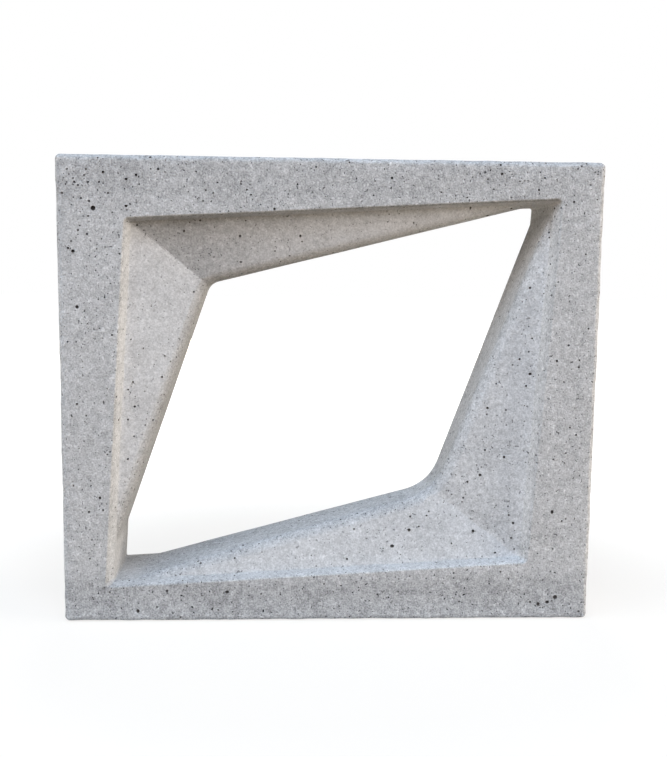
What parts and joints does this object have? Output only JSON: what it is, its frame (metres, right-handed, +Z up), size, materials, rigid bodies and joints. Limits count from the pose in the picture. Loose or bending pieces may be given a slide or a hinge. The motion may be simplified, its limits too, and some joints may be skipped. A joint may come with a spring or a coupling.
{
  "type": "concrete screen block",
  "caption": "Cast concrete screen block: a frame round a slanted see-through opening with folded inner facets, laid in courses to make a pierced wall.",
  "frame": {"origin": "centre of the lower bed, on the surface that the block stands on", "axes": "+X along the block's width, +Y through its thickness from the front face to the back one, +Z up"},
  "size_m": [0.3, 0.065, 0.26],
  "materials": {
    "concrete": "matte, fine sandy cast concrete"
  },
  "bodies": {
    "root": {"screen_block": "concrete"}
  },
  "joints": []
}
